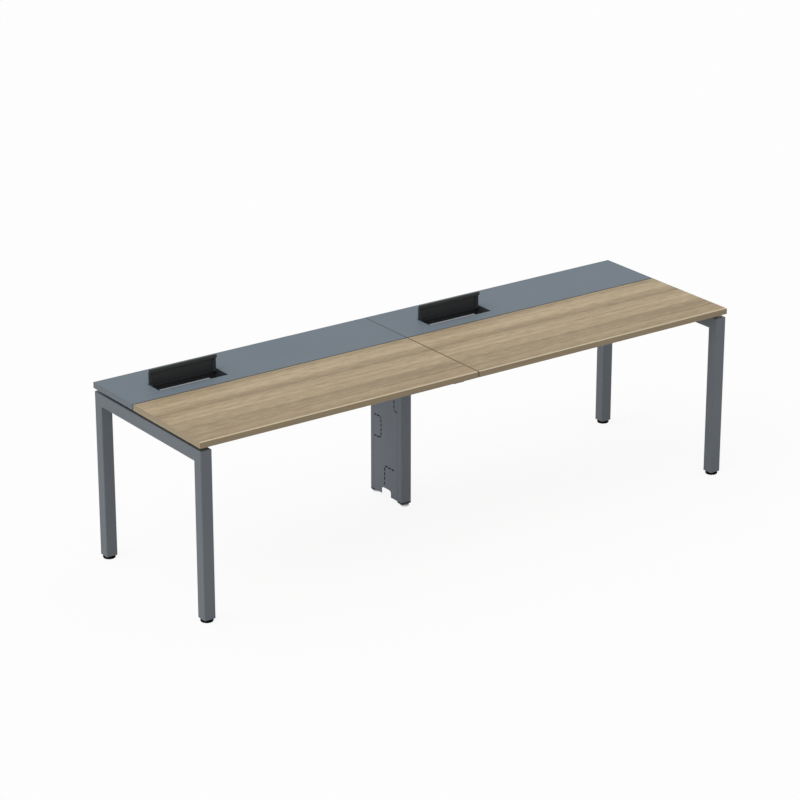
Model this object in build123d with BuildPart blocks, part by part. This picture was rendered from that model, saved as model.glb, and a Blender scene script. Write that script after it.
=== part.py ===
from build123d import *
import os

os.makedirs("parts", exist_ok=True)

# Two-place benching desk. X runs along the desk, the users sit on the -Y side, and Z is up
# from the floor. The origin is on the floor under the middle of the tops. Millimetres.

# Tops
desk_height = 750
place_length = 1302.5  # one place's boards, along X
place_seam = 3  # between the two places
worktop_depth = 486
panel_depth = 300  # service panel, behind the worktop
panel_seam = 4  # between worktop and service panel
board_thickness = 25
edging_thickness = 2
edging_round = 1.2

# Cable port cut through each service panel
port_offset = 161  # from the place's left edge
port_length = 317
port_margin = 61  # from the service panel's front edge
port_width = 96

# End frames
frame_gap = 13  # spacers between the frame and the boards
frame_inset_x = 3
frame_inset_y = 2
tube_size = 50
tube_wall = 2
tube_round = 4
rail_height = 53
leg_clearance = 13  # floor to the end of the leg tube

# Beams and middle rail
beam_width = 30
beam_height = 50
beam_round = 4
front_beam_inset = 170  # beam's axis behind the desk's front edge
rear_beam_inset = 77  # beam's axis ahead of the desk's back edge
beam_end_gap = 0.5
saddle_sheet = 3
saddle_gap = 0.3  # beside the beam
saddle_length = 40
saddle_height = 38
middle_rail_margin = 22  # beyond the beams at each end
rail_cap_thickness = 2
rail_cap_depth = 10

# Bolts
bolt_radius = 4
bolt_head_radius = 7.5
bolt_head_height = 5
bolt_length = 14
bolt_sides = 8  # facets of a shank, and of the hole that it passes
hole_play = 0.4  # radial, in a hole that a bolt passes

# Board fixings: tabs welded to the rails and beams, with a spacer pad over each
tab_sheet = 3
tab_length = 30
tab_reach = 25
spacer_overlap = 15  # of the pad over the rail or beam
rail_fixing_ys = (-300, 40, 140, 270)
middle_fixing_ys = (-150, 40, 250)
beam_fixing_reach = 200  # from the middle of the beam, along X

# Joint plates that tie each worktop to its service panel
joint_plate_length = 60
joint_plate_width = 90
joint_plate_thickness = 3
joint_plate_reach = 350  # from the middle of the place, along X
joint_plate_chamfer = 8

# Levelling glides under the legs
glide_radius = 26
glide_height = 10
collar_radius = 9
stem_radius = 5
stem_length = 32
stem_play = 0.05
stem_sides = 12  # facets of the stem and of its hole
glide_sides = 32  # facets of a glide's foot
glide_seat_gap = 0.3
plug_length = 25
plug_play = 0.3

# Cable riser, the middle leg
riser_inset = 1.5  # behind the service panel's front edge
riser_width = 50
riser_depth = 226.5
riser_sheet = 1.5
riser_round = 6
riser_clearance = 15  # floor to the end of the posts
front_post_depth = 30
rear_post_depth = 24
lip_length = 8
lip_overlap = 6
cover_seam = 1
cover_bottom = 17.5
riser_window = 61  # cable window between the covers and the head plate
head_plate_thickness = 4
tie_height = 30
tie_thickness = 3
tie_levels = (200, 550)
riser_bolt_inset = 64  # from the riser's front and back faces
riser_glide_radius = 20
riser_glide_height = 7
foot_flange = 4  # of the foot block, under the end of each post
foot_block_chamfer = 2

# Knock-outs pressed in the riser's covers: perforated outlines, and the cable notch
slot_width = 6.5
slot_bridge = 6  # metal left between two slots
slot_pitch = 22  # about this much from one slot to the next
notch_front = 78  # from the riser's front face
notch_width = 66
notch_top = 47
notch_round = 12

# Flap, its housing in the port, and the strip that it closes against
housing_gap = 0.5
housing_wall = 2.5
housing_recess = 0.2
housing_depth = 46
housing_tab_length = 20
housing_tab_reach = 15
housing_tab_inset = 40
lid_gap = 0.4  # behind the lid
lid_end_gap = 1
lid_front_gap = 1
lid_thickness = 3
pivot_drop = 6.8  # pivot below the closed lid's upper face
pivot_radius = 2
pivot_play = 0.06
nosing_step = 5.4  # from the lid's back face to the nosing's
nosing_depth = 9.4
nosing_height = 14
nosing_wall = 1.8
nosing_round = 2.5
block_length = 15
block_thickness = 4
block_play = 0.1
strip_length = 232
strip_start = 1.5
strip_width = 12
strip_thickness = 1.8
strip_height = 18
stop_length = 6
stop_width = 10
stop_thickness = 3
stop_gap = 0.3

# Cable trays
tray_width = 130
tray_height = 60
tray_wall = 1.2
tray_bend = 4
tray_drop = 14  # below the flap housing
tray_inner_gap = 35  # from the riser
tray_outer_gap = 51  # from the end rail
tray_slots = 9
tray_slot_length = 60
tray_slot_width = 12
hanger_width = 25
hanger_sheet = 2
hanger_flange = 22
hanger_hook = 12
hanger_gap = 0.3
hanger_xs = (100, 640, 1175)  # from the middle of the desk

# Worked out from the sizes above
desk_length = 2 * place_length + place_seam
desk_depth = worktop_depth + panel_seam + panel_depth
front_y = -desk_depth / 2
back_y = desk_depth / 2
worktop_back_y = front_y + worktop_depth
panel_front_y = worktop_back_y + panel_seam
underside = desk_height - board_thickness
frame_top = underside - frame_gap
rail_bottom = frame_top - rail_height
rail_z = frame_top - rail_height / 2
leg_x = desk_length / 2 - frame_inset_x - tube_size / 2
leg_y = desk_depth / 2 - frame_inset_y - tube_size / 2
rail_inner_x = leg_x - tube_size / 2
beam_z = frame_top - beam_height / 2
beam_bottom = frame_top - beam_height
front_beam_y = front_y + front_beam_inset
rear_beam_y = back_y - rear_beam_inset
beam_ys = {"front": front_beam_y, "rear": rear_beam_y}
middle_rail_front = front_beam_y - beam_width / 2 - middle_rail_margin
middle_rail_back = rear_beam_y + beam_width / 2 + middle_rail_margin
place_lefts = {"left": -desk_length / 2, "right": place_seam / 2}
sides = {"left": -1, "right": 1}

riser_front_y = panel_front_y + riser_inset
riser_back_y = riser_front_y + riser_depth
front_seam_y = riser_front_y + front_post_depth
rear_seam_y = riser_back_y - rear_post_depth
riser_top = beam_bottom - head_plate_thickness
cover_top = riser_top - riser_window
riser_glide_ys = {
    "front": riser_front_y + front_post_depth / 2,
    "rear": riser_back_y - rear_post_depth / 2,
}

port_front_y = panel_front_y + port_margin
port_back_y = port_front_y + port_width
port_mid_y = (port_front_y + port_back_y) / 2
housing_skin = housing_gap + housing_wall
housing_front_y = port_front_y + housing_skin  # inner faces
housing_back_y = port_back_y - housing_skin
housing_bottom = desk_height - housing_depth
lid_back_y = housing_back_y - lid_gap
pivot_y = lid_back_y - pivot_drop
pivot_z = desk_height - pivot_drop
strip_back_y = housing_front_y + strip_width
lid_reach = pivot_y - strip_back_y - lid_front_gap
lid_length = port_length - 2 * (housing_skin + lid_end_gap)
lid_front_y = lid_back_y - lid_thickness
nosing_back_y = lid_back_y - nosing_step
nosing_front_y = nosing_back_y - nosing_depth
nosing_bottom = pivot_z + lid_reach - nosing_height
stop_top = pivot_z + nosing_front_y - pivot_y - stop_gap

tray_top = housing_bottom - tray_drop
tray_bottom = tray_top - tray_height
tray_near_x = riser_width / 2 + tray_inner_gap
tray_far_x = rail_inner_x - tray_outer_gap
tray_mid_x = (tray_near_x + tray_far_x) / 2


def save(piece, name):
    piece.part.label = name
    export_step(piece.part, f"parts/{name}.step")


def tube_profile(width, height, wall, corner):
    RectangleRounded(width, height, corner)
    Rectangle(width - 2 * wall, height - 2 * wall, mode=Mode.SUBTRACT)


def slot_row(start, end):
    # Narrow rectangular slots in line from start to end, with a bridge between each two.
    run = Vector(*end) - Vector(*start)
    pieces = max(1, round(run.length / slot_pitch))
    pitch = run.length / pieces
    angle = Vector(1, 0).get_signed_angle(run)
    for number in range(pieces):
        spot = Vector(*start) + run * ((number + 0.5) / pieces)
        with Locations(Location((spot.X, spot.Y), angle)):
            Rectangle(pitch - slot_bridge, slot_width)


# Boards: a core and the edge band round it. The service panel has the cable port.
for side in sides:
    place_x = place_lefts[side] + place_length / 2
    port_x = place_lefts[side] + port_offset + port_length / 2
    boards = {
        "worktop": (worktop_depth, front_y + worktop_depth / 2),
        "service_panel": (panel_depth, panel_front_y + panel_depth / 2),
    }
    for board, (depth, mid_y) in boards.items():
        core_length = place_length - 2 * edging_thickness
        core_depth = depth - 2 * edging_thickness
        with BuildPart() as core:
            with BuildSketch(Plane.XY.offset(underside)):
                with Locations((place_x, mid_y)):
                    Rectangle(core_length, core_depth)
                if board == "service_panel":
                    with Locations((port_x, port_mid_y)):
                        Rectangle(port_length, port_width, mode=Mode.SUBTRACT)
            extrude(amount=board_thickness)
        save(core, f"{board}_{side}")

        with BuildPart() as edging:
            with BuildSketch(Plane.XY.offset(underside)):
                with Locations((place_x, mid_y)):
                    Rectangle(place_length, depth)
            extrude(amount=board_thickness)
            rims = edging.edges().group_by(Axis.Z)[-1] + edging.edges().group_by(Axis.Z)[0]
            fillet(rims, radius=edging_round)
            with BuildSketch(Plane.XY.offset(underside)):
                with Locations((place_x, mid_y)):
                    Rectangle(core_length, core_depth)
            extrude(amount=board_thickness, mode=Mode.SUBTRACT)
        save(edging, f"{board}_edging_{side}")

# End frames: two legs and a rail of square tube, mitred and welded at the corners.
inner_leg_y = leg_y - tube_size / 2
rail_half = leg_y + tube_size / 2
for side, sx in sides.items():
    for end, sy in (("front", -1), ("rear", 1)):
        mitre = Plane(
            origin=(0, sy * inner_leg_y, rail_bottom),
            x_dir=(1, 0, 0),
            z_dir=(0, sy * rail_height, -tube_size),
        )
        with BuildPart() as leg:
            with BuildSketch(Plane.XY.offset(leg_clearance)):
                with Locations((sx * leg_x, sy * leg_y)):
                    tube_profile(tube_size, tube_size, tube_wall, tube_round)
            extrude(amount=frame_top - leg_clearance)
            split(bisect_by=mitre, keep=Keep.TOP)
        save(leg, f"{end}_leg_{side}")

    with BuildPart() as end_rail:
        with BuildSketch(Plane.XZ):
            with Locations((sx * leg_x, rail_z)):
                tube_profile(tube_size, rail_height, tube_wall, tube_round)
        extrude(amount=rail_half, both=True)
        for sy in (-1, 1):
            mitre = Plane(
                origin=(0, sy * inner_leg_y, rail_bottom),
                x_dir=(1, 0, 0),
                z_dir=(0, sy * rail_height, -tube_size),
            )
            split(bisect_by=mitre, keep=Keep.BOTTOM)
    save(end_rail, f"end_rail_{side}")

# Plugs in the ends of the leg tubes, each threaded for a glide.
with BuildPart() as leg_plugs:
    with BuildSketch(Plane.XY.offset(leg_clearance)):
        with GridLocations(2 * leg_x, 2 * leg_y, 2, 2):
            plug_size = tube_size - 2 * (tube_wall + plug_play)
            Rectangle(plug_size, plug_size)
            RegularPolygon(stem_radius + stem_play, stem_sides, mode=Mode.SUBTRACT)
    extrude(amount=plug_length)
save(leg_plugs, "leg_plugs")

# Glides: a foot, a collar that stops under the plug, and the threaded stem.
for side, sx in sides.items():
    for end, sy in (("front", -1), ("rear", 1)):
        with BuildPart() as glide:
            with BuildSketch(Plane.XY):
                with Locations((sx * leg_x, sy * leg_y)):
                    RegularPolygon(glide_radius, glide_sides)
            extrude(amount=glide_height)
            with BuildSketch(Plane.XY.offset(glide_height)):
                with Locations((sx * leg_x, sy * leg_y)):
                    RegularPolygon(collar_radius, 6)
            extrude(amount=leg_clearance - glide_seat_gap - glide_height)
            with BuildSketch(Plane.XY.offset(glide_height)):
                with Locations((sx * leg_x, sy * leg_y)):
                    RegularPolygon(stem_radius, stem_sides)
            extrude(amount=stem_length)
        save(glide, f"{end}_glide_{side}")

# Middle rail, across the desk over the riser, and its end caps.
with BuildPart() as middle_rail:
    with BuildSketch(Plane.XZ.offset(-middle_rail_back)):
        with Locations((0, beam_z)):
            tube_profile(tube_size, beam_height, tube_wall, tube_round)
    extrude(amount=middle_rail_back - middle_rail_front)
    riser_bolt_spots = [
        (0, riser_front_y + riser_bolt_inset),
        (0, riser_back_y - riser_bolt_inset),
    ]
    with BuildSketch(Plane.XY.offset(beam_bottom)):
        with Locations(*riser_bolt_spots):
            RegularPolygon(bolt_radius + hole_play, bolt_sides)
    extrude(amount=2 * tube_wall, mode=Mode.SUBTRACT)
save(middle_rail, "middle_rail")

with BuildPart() as middle_rail_caps:
    for y, outward in ((middle_rail_front, 1), (middle_rail_back, -1)):
        with BuildSketch(Plane.XZ.offset(-y)):
            with Locations((0, beam_z)):
                Rectangle(tube_size, beam_height)
        extrude(amount=outward * rail_cap_thickness)
        with BuildSketch(Plane.XZ.offset(-y)):
            with Locations((0, beam_z)):
                inner = 2 * (tube_wall + plug_play)
                Rectangle(tube_size - inner, beam_height - inner)
        extrude(amount=-outward * rail_cap_depth)
save(middle_rail_caps, "middle_rail_caps")

# Beams, one at the front and one at the rear of each place. Each end lies in a saddle that
# is welded to the end rail or to the middle rail, with one bolt up through both.
saddle_faces = [
    (sign * face, sign * outward)
    for sign in (-1, 1)
    for face, outward in ((rail_inner_x, -1), (tube_size / 2, 1))
]
beam_bolt_spots = [
    (face_x + outward * saddle_length / 2, y) for face_x, outward in saddle_faces for y in beam_ys.values()
]
beam_length = rail_inner_x - tube_size / 2 - 2 * beam_end_gap
beam_mid_x = (rail_inner_x + tube_size / 2) / 2
for side, sx in sides.items():
    for end, y in beam_ys.items():
        with BuildPart() as beam:
            with BuildSketch(Plane.YZ.offset(sx * beam_mid_x - beam_length / 2)):
                with Locations((y, beam_z)):
                    tube_profile(beam_width, beam_height, tube_wall, beam_round)
            extrude(amount=beam_length)
            with BuildSketch(Plane.XY.offset(beam_bottom)):
                with Locations(*[spot for spot in beam_bolt_spots if spot[0] * sx > 0 and spot[1] == y]):
                    RegularPolygon(bolt_radius + hole_play, bolt_sides)
            extrude(amount=2 * tube_wall, mode=Mode.SUBTRACT)
        save(beam, f"{end}_beam_{side}")

with BuildPart() as beam_saddles:
    for face_x, outward in saddle_faces:
        for y in beam_ys.values():
            with BuildSketch(Plane.YZ.offset(face_x)):
                with Locations((y, beam_bottom - saddle_sheet + saddle_height / 2)):
                    Rectangle(beam_width + 2 * (saddle_gap + saddle_sheet), saddle_height)
                with Locations((y, beam_bottom + saddle_height / 2)):
                    Rectangle(beam_width + 2 * saddle_gap, saddle_height, mode=Mode.SUBTRACT)
            extrude(amount=outward * saddle_length)
    with BuildSketch(Plane.XY.offset(beam_bottom - saddle_sheet)):
        with Locations(*beam_bolt_spots):
            RegularPolygon(bolt_radius + hole_play, bolt_sides)
    extrude(amount=saddle_sheet, mode=Mode.SUBTRACT)
save(beam_saddles, "beam_saddles")

with BuildPart() as bolt:
    with BuildSketch(Plane.XY):
        RegularPolygon(bolt_head_radius, 6)
    extrude(amount=-bolt_head_height)
    with BuildSketch(Plane.XY):
        RegularPolygon(bolt_radius, bolt_sides)
    extrude(amount=bolt_length)

with BuildPart() as beam_bolts:
    with Locations(*[(x, y, beam_bottom - saddle_sheet) for x, y in beam_bolt_spots]):
        add(bolt.part)
save(beam_bolts, "beam_bolts")

# Fixing tabs beside the rails and beams, and the spacer pads that the boards lie on. Each
# fixing is (x, y) on the rail's or beam's side face, and the way the tab points from it.
fixings = [((sx * rail_inner_x, y), (-sx, 0)) for sx in sides.values() for y in rail_fixing_ys]
fixings += [((sx * tube_size / 2, y), (sx, 0)) for sx in sides.values() for y in middle_fixing_ys]
for sx in sides.values():
    for x in (sx * beam_mid_x - beam_fixing_reach, sx * beam_mid_x + beam_fixing_reach):
        fixings.append(((x, front_beam_y + beam_width / 2), (0, 1)))
        fixings.append(((x, rear_beam_y - beam_width / 2), (0, -1)))

with BuildPart() as fixing_tabs:
    with BuildSketch(Plane.XY.offset(frame_top)):
        for (x, y), (dx, dy) in fixings:
            with Locations((x + dx * tab_reach / 2, y + dy * tab_reach / 2)):
                Rectangle(
                    abs(dx) * tab_reach + abs(dy) * tab_length,
                    abs(dy) * tab_reach + abs(dx) * tab_length,
                )
    extrude(amount=-tab_sheet)
save(fixing_tabs, "fixing_tabs")

with BuildPart() as top_spacers:
    pad_reach = tab_reach + spacer_overlap
    pad_shift = (tab_reach - spacer_overlap) / 2
    with BuildSketch(Plane.XY.offset(frame_top)):
        for (x, y), (dx, dy) in fixings:
            with Locations((x + dx * pad_shift, y + dy * pad_shift)):
                Rectangle(
                    abs(dx) * pad_reach + abs(dy) * tab_length,
                    abs(dy) * pad_reach + abs(dx) * tab_length,
                )
    extrude(amount=frame_gap)
save(top_spacers, "top_spacers")

# Joint plates under the seam between worktop and service panel.
joint_y = (worktop_back_y + panel_front_y) / 2
joint_spots = [
    (place_lefts[side] + place_length / 2 + reach, joint_y)
    for side in sides
    for reach in (-joint_plate_reach, joint_plate_reach)
]
with BuildPart() as joint_plates:
    with BuildSketch(Plane.XY.offset(underside)) as outline:
        with Locations(*joint_spots):
            Rectangle(joint_plate_length, joint_plate_width)
        chamfer(outline.vertices(), length=joint_plate_chamfer)
    extrude(amount=-joint_plate_thickness)
save(joint_plates, "joint_plates")

# Riser posts: channels of folded sheet with a set-in lip behind each cover.
half_width = riser_width / 2
posts = {
    "front": (riser_front_y, front_post_depth, 1),
    "rear": (riser_back_y, rear_post_depth, -1),
}
for end, (face_y, depth, inward) in posts.items():
    with BuildPart() as post:
        with BuildSketch(Plane.XY.offset(riser_clearance)):
            with Locations((0, face_y + inward * depth)):
                RectangleRounded(riser_width, 2 * depth, riser_round)
                RectangleRounded(
                    riser_width - 2 * riser_sheet,
                    2 * (depth - riser_sheet),
                    riser_round - riser_sheet,
                    mode=Mode.SUBTRACT,
                )
            with Locations((0, face_y + inward * 1.5 * depth)):
                Rectangle(riser_width, depth, mode=Mode.SUBTRACT)
            lip_run = lip_length + lip_overlap
            lip_x = half_width - 1.5 * riser_sheet
            lip_y = face_y + inward * (depth - lip_overlap + lip_run / 2)
            with Locations((-lip_x, lip_y), (lip_x, lip_y)):
                Rectangle(riser_sheet, lip_run)
        extrude(amount=riser_top - riser_clearance)
    save(post, f"riser_{end}_post")

# Covers with perforated knock-outs and a cable notch at the floor.
knock_outs = (
    # The corners of each outline, as (from the riser's front face, height).
    ((202, 359), (157, 359), (148.5, 350.5), (148.5, 272.5), (157, 264), (202, 264)),
    ((55.5, 510), (55.5, 422.5), (47, 414), (30, 414)),
    ((53, 147), (122.5, 147)),
    ((122.5, 142), (122.5, 58)),
)
cover_width = rear_seam_y - front_seam_y - 2 * cover_seam
cover_mid_y = (front_seam_y + rear_seam_y) / 2
for side, sx in sides.items():
    with BuildPart() as cover:
        with BuildSketch(Plane.YZ.offset(sx * half_width)):
            with Locations((cover_mid_y, (cover_top + cover_bottom) / 2)):
                Rectangle(cover_width, cover_top - cover_bottom)
            for corners in knock_outs:
                for (y0, z0), (y1, z1) in zip(corners, corners[1:]):
                    with BuildSketch(mode=Mode.PRIVATE) as row:
                        slot_row((riser_front_y + y0, z0), (riser_front_y + y1, z1))
                    add(row.sketch, mode=Mode.SUBTRACT)
        extrude(amount=-sx * riser_sheet)
        with BuildSketch(Plane.YZ.offset(sx * half_width)):
            with Locations((riser_front_y + notch_front + notch_width / 2, 0)):
                RectangleRounded(notch_width, 2 * notch_top, notch_round)
        extrude(amount=-sx * riser_sheet, mode=Mode.SUBTRACT)
    save(cover, f"riser_cover_{side}")

# Ties welded between the posts' lips, the head plate and its bolts, and the foot blocks.
with BuildPart() as riser_ties:
    tie_x = half_width - 2 * riser_sheet - tie_thickness / 2
    tie_span = rear_seam_y - front_seam_y + lip_overlap
    for level in tie_levels:
        with BuildSketch(Plane.XY.offset(level - tie_height / 2)):
            with Locations((-tie_x, cover_mid_y), (tie_x, cover_mid_y)):
                Rectangle(tie_thickness, tie_span)
        extrude(amount=tie_height)
save(riser_ties, "riser_ties")

with BuildPart() as riser_head_plate:
    with BuildSketch(Plane.XY.offset(riser_top)):
        with Locations((0, riser_front_y + riser_depth / 2)):
            Rectangle(riser_width, riser_depth)
        with Locations(*riser_bolt_spots):
            RegularPolygon(bolt_radius + hole_play, bolt_sides, mode=Mode.SUBTRACT)
    extrude(amount=head_plate_thickness)
save(riser_head_plate, "riser_head_plate")

with BuildPart() as riser_bolts:
    with Locations(*[(x, y, riser_top) for x, y in riser_bolt_spots]):
        add(bolt.part)
save(riser_bolts, "riser_bolts")

with BuildPart() as riser_foot_blocks:
    for end, (face_y, depth, inward) in posts.items():
        block_depth = depth - riser_sheet - plug_play
        block_width = riser_width - 2 * (2 * riser_sheet + plug_play)
        with BuildSketch(Plane.XY.offset(riser_clearance)) as outline:
            with Locations((0, face_y + inward * (riser_sheet + plug_play + block_depth / 2))):
                Rectangle(block_width, block_depth)
            chamfer(outline.vertices(), length=foot_block_chamfer)
        extrude(amount=plug_length)
        with BuildSketch(Plane.XY.offset(riser_clearance - foot_flange)):
            with Locations((0, face_y + inward * depth)):
                RectangleRounded(riser_width, 2 * depth, riser_round)
            with Locations((0, face_y + inward * 1.5 * depth)):
                Rectangle(riser_width, depth, mode=Mode.SUBTRACT)
        extrude(amount=foot_flange)
        with BuildSketch(Plane.XY.offset(riser_clearance - foot_flange)):
            with Locations((0, riser_glide_ys[end])):
                RegularPolygon(stem_radius + stem_play, stem_sides)
        extrude(amount=foot_flange + plug_length, mode=Mode.SUBTRACT)
save(riser_foot_blocks, "riser_foot_blocks")

for end, glide_y in riser_glide_ys.items():
    with BuildPart() as glide:
        with BuildSketch(Plane.XY):
            with Locations((0, glide_y)):
                RegularPolygon(riser_glide_radius, glide_sides)
        extrude(amount=riser_glide_height)
        with BuildSketch(Plane.XY.offset(riser_glide_height)):
            with Locations((0, glide_y)):
                RegularPolygon(collar_radius, 6)
        extrude(amount=riser_clearance - foot_flange - glide_seat_gap - riser_glide_height)
        with BuildSketch(Plane.XY.offset(riser_glide_height)):
            with Locations((0, glide_y)):
                RegularPolygon(stem_radius, stem_sides)
        extrude(amount=stem_length)
    save(glide, f"riser_{end}_glide")

# Flaps. The lid is an extrusion: a plate that curls round the pivot at its hinge edge, and
# that steps in to a hollow nosing along its free edge, which leaves a finger groove beside
# the strip once it's closed. It stands open, and turns forward to close.
for side in sides:
    port_left = place_lefts[side] + port_offset
    port_right = port_left + port_length
    port_x = (port_left + port_right) / 2
    outer_length = port_length - 2 * housing_gap
    outer_width = port_width - 2 * housing_gap

    with BuildPart() as housing:
        with BuildSketch(Plane.XY.offset(housing_bottom)):
            with Locations((port_x, port_mid_y)):
                Rectangle(outer_length, outer_width)
                Rectangle(
                    outer_length - 2 * housing_wall, outer_width - 2 * housing_wall, mode=Mode.SUBTRACT
                )
        extrude(amount=housing_depth - housing_recess)
        tab_x = port_length / 2 - housing_tab_inset
        tab_y = outer_width / 2 + housing_tab_reach / 2
        with BuildSketch(Plane.XY.offset(underside)):
            with Locations((port_x, port_mid_y)):
                with GridLocations(2 * tab_x, 2 * tab_y, 2, 2):
                    Rectangle(housing_tab_length, housing_tab_reach)
        extrude(amount=-housing_wall)
        stop_y = strip_back_y + lid_front_gap + nosing_height / 2
        with BuildSketch(Plane.XY.offset(stop_top)):
            for x in (port_left + housing_skin, port_right - housing_skin - stop_length):
                with Locations((x + stop_length / 2, stop_y)):
                    Rectangle(stop_length, stop_width)
        extrude(amount=-stop_thickness)
        with BuildSketch(Plane.YZ.offset(port_left)):
            with Locations((pivot_y, pivot_z)):
                Circle(pivot_radius + pivot_play)
        extrude(amount=port_length, mode=Mode.SUBTRACT)
    save(housing, f"flap_housing_{side}")

    with BuildPart() as strip:
        with BuildSketch(Plane.YZ.offset(port_left + housing_skin + strip_start)):
            with BuildLine():
                Polyline(
                    (housing_front_y, desk_height - strip_height),
                    (housing_front_y, desk_height),
                    (strip_back_y, desk_height),
                )
                offset(amount=strip_thickness, side=Side.RIGHT)
            make_face()
        extrude(amount=strip_length)
    save(strip, f"flap_strip_{side}")

    lid_left = port_x - lid_length / 2
    with BuildPart() as lid:
        with BuildSketch(Plane.YZ.offset(lid_left)):
            with Locations((pivot_y, pivot_z)):
                Circle(pivot_drop)
                Circle(pivot_drop - lid_thickness, mode=Mode.SUBTRACT)
            with Locations((pivot_y - pivot_drop, pivot_z), (pivot_y, pivot_z + pivot_drop)):
                Rectangle(2 * pivot_drop, 2 * pivot_drop, mode=Mode.SUBTRACT)
            plate_height = nosing_bottom + lid_thickness - pivot_z
            with Locations((lid_back_y - lid_thickness / 2, pivot_z + plate_height / 2)):
                Rectangle(lid_thickness, plate_height)
            web_depth = nosing_step + nosing_wall
            with Locations((lid_back_y - web_depth / 2, nosing_bottom + lid_thickness / 2)):
                Rectangle(web_depth, lid_thickness)
            with Locations((nosing_back_y - nosing_depth / 2, nosing_bottom + nosing_height / 2)):
                RectangleRounded(nosing_depth, nosing_height, nosing_round)
                RectangleRounded(
                    nosing_depth - 2 * nosing_wall,
                    nosing_height - 2 * nosing_wall,
                    nosing_round - nosing_wall,
                    mode=Mode.SUBTRACT,
                )
        extrude(amount=lid_length)
    save(lid, f"flap_lid_{side}")

    # End blocks, moulded with the trunnions that turn in the housing's end walls.
    with BuildPart() as blocks:
        trunnion_length = lid_end_gap + housing_wall
        for x, outward in ((lid_left, -1), (lid_left + lid_length, 1)):
            with BuildSketch(Plane.YZ.offset(x)):
                block_height = nosing_bottom - pivot_z
                with Locations((lid_front_y - block_thickness / 2, pivot_z + block_height / 2)):
                    Rectangle(block_thickness, block_height)
                with Locations((pivot_y, pivot_z)):
                    Circle(pivot_drop - lid_thickness - block_play)
            extrude(amount=-outward * block_length)
            with BuildSketch(Plane.YZ.offset(x)):
                with Locations((pivot_y, pivot_z)):
                    Circle(pivot_radius)
            extrude(amount=outward * trunnion_length)
    save(blocks, f"flap_blocks_{side}")

# Cable trays, and the hooked hangers that hold them under the service panels.
tray_front_y = port_mid_y - tray_width / 2
tray_back_y = port_mid_y + tray_width / 2
tray_run = tray_far_x - tray_near_x
for side, sx in sides.items():
    with BuildPart() as tray:
        with BuildSketch(Plane.YZ.offset(sx * tray_mid_x - tray_run / 2)):
            with BuildLine():
                FilletPolyline(
                    (tray_front_y, tray_top),
                    (tray_front_y, tray_bottom),
                    (tray_back_y, tray_bottom),
                    (tray_back_y, tray_top),
                    radius=tray_bend,
                )
                offset(amount=tray_wall, side=Side.LEFT)
            make_face()
        extrude(amount=tray_run)
        with BuildSketch(Plane.XY.offset(tray_bottom)):
            with Locations((sx * tray_mid_x, port_mid_y)):
                with GridLocations(tray_run / tray_slots, 0, tray_slots, 1):
                    Rectangle(tray_slot_length, tray_slot_width)
        extrude(amount=tray_wall, mode=Mode.SUBTRACT)
    save(tray, f"cable_tray_{side}")

    with BuildPart() as hangers:
        for x in hanger_xs:
            for wall_y, outward in ((tray_front_y, -1), (tray_back_y, 1)):
                leg_face = wall_y + outward * hanger_gap
                hook_end = leg_face - outward * hanger_hook
                flange_end = leg_face + outward * (hanger_sheet + hanger_flange)
                with BuildSketch(Plane.YZ.offset(sx * x - hanger_width / 2)):
                    with BuildLine():
                        Polyline(
                            (hook_end, tray_bottom),
                            (leg_face, tray_bottom),
                            (leg_face, underside),
                            (flange_end, underside),
                        )
                        offset(
                            amount=hanger_sheet,
                            side=Side.RIGHT if outward > 0 else Side.LEFT,
                        )
                    make_face()
                extrude(amount=hanger_width)
    save(hangers, f"tray_hangers_{side}")
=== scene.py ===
import math

import bmesh
import bpy
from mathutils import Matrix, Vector


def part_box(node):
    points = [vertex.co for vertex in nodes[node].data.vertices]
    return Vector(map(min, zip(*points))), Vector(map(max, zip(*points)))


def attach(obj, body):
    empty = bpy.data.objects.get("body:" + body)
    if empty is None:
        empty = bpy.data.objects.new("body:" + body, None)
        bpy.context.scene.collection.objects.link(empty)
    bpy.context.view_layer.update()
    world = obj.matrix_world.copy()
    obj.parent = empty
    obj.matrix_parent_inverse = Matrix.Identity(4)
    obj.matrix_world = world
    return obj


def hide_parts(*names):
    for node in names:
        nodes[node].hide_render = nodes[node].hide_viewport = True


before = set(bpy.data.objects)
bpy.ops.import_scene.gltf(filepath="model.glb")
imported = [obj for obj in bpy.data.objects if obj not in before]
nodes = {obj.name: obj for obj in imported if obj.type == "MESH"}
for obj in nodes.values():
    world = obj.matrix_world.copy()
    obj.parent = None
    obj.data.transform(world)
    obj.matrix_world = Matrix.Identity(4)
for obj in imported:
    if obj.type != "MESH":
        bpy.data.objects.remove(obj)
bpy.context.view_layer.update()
sides = ("left", "right")
ends = ("front", "rear")
print("frame loaded:", len(nodes), "parts")


# small helpers

def srgb(red, green, blue):  # screen values 0-255 to a linear colour with alpha
    def channel(value):
        value = value / 255
        return value / 12.92 if value <= 0.04045 else ((value + 0.055) / 1.055) ** 2.4
    return (channel(red), channel(green), channel(blue), 1)


def grey(level):  # a linear grey with alpha
    return (level, level, level, 1)


def addNode(tree, kind, values=None, **settings):
    node = tree.nodes.new(kind)
    for key, value in settings.items():
        setattr(node, key, value)
    for key, value in (values or {}).items():
        node.inputs[key].default_value = value
    return node


def feed(tree, socket, value):  # the value is a plain one, or another node's output
    if isinstance(value, bpy.types.NodeSocket):
        tree.links.new(value, socket)
    else:
        socket.default_value = value


def addMath(tree, operation, *terms, clamp=False):
    node = addNode(tree, "ShaderNodeMath", operation=operation, use_clamp=clamp)
    for socket, term in zip(node.inputs, terms):
        feed(tree, socket, term)
    return node.outputs[0]


def meshObject(name, mesh):
    obj = bpy.data.objects.new(name, mesh)
    bpy.context.scene.collection.objects.link(obj)
    return obj


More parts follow.
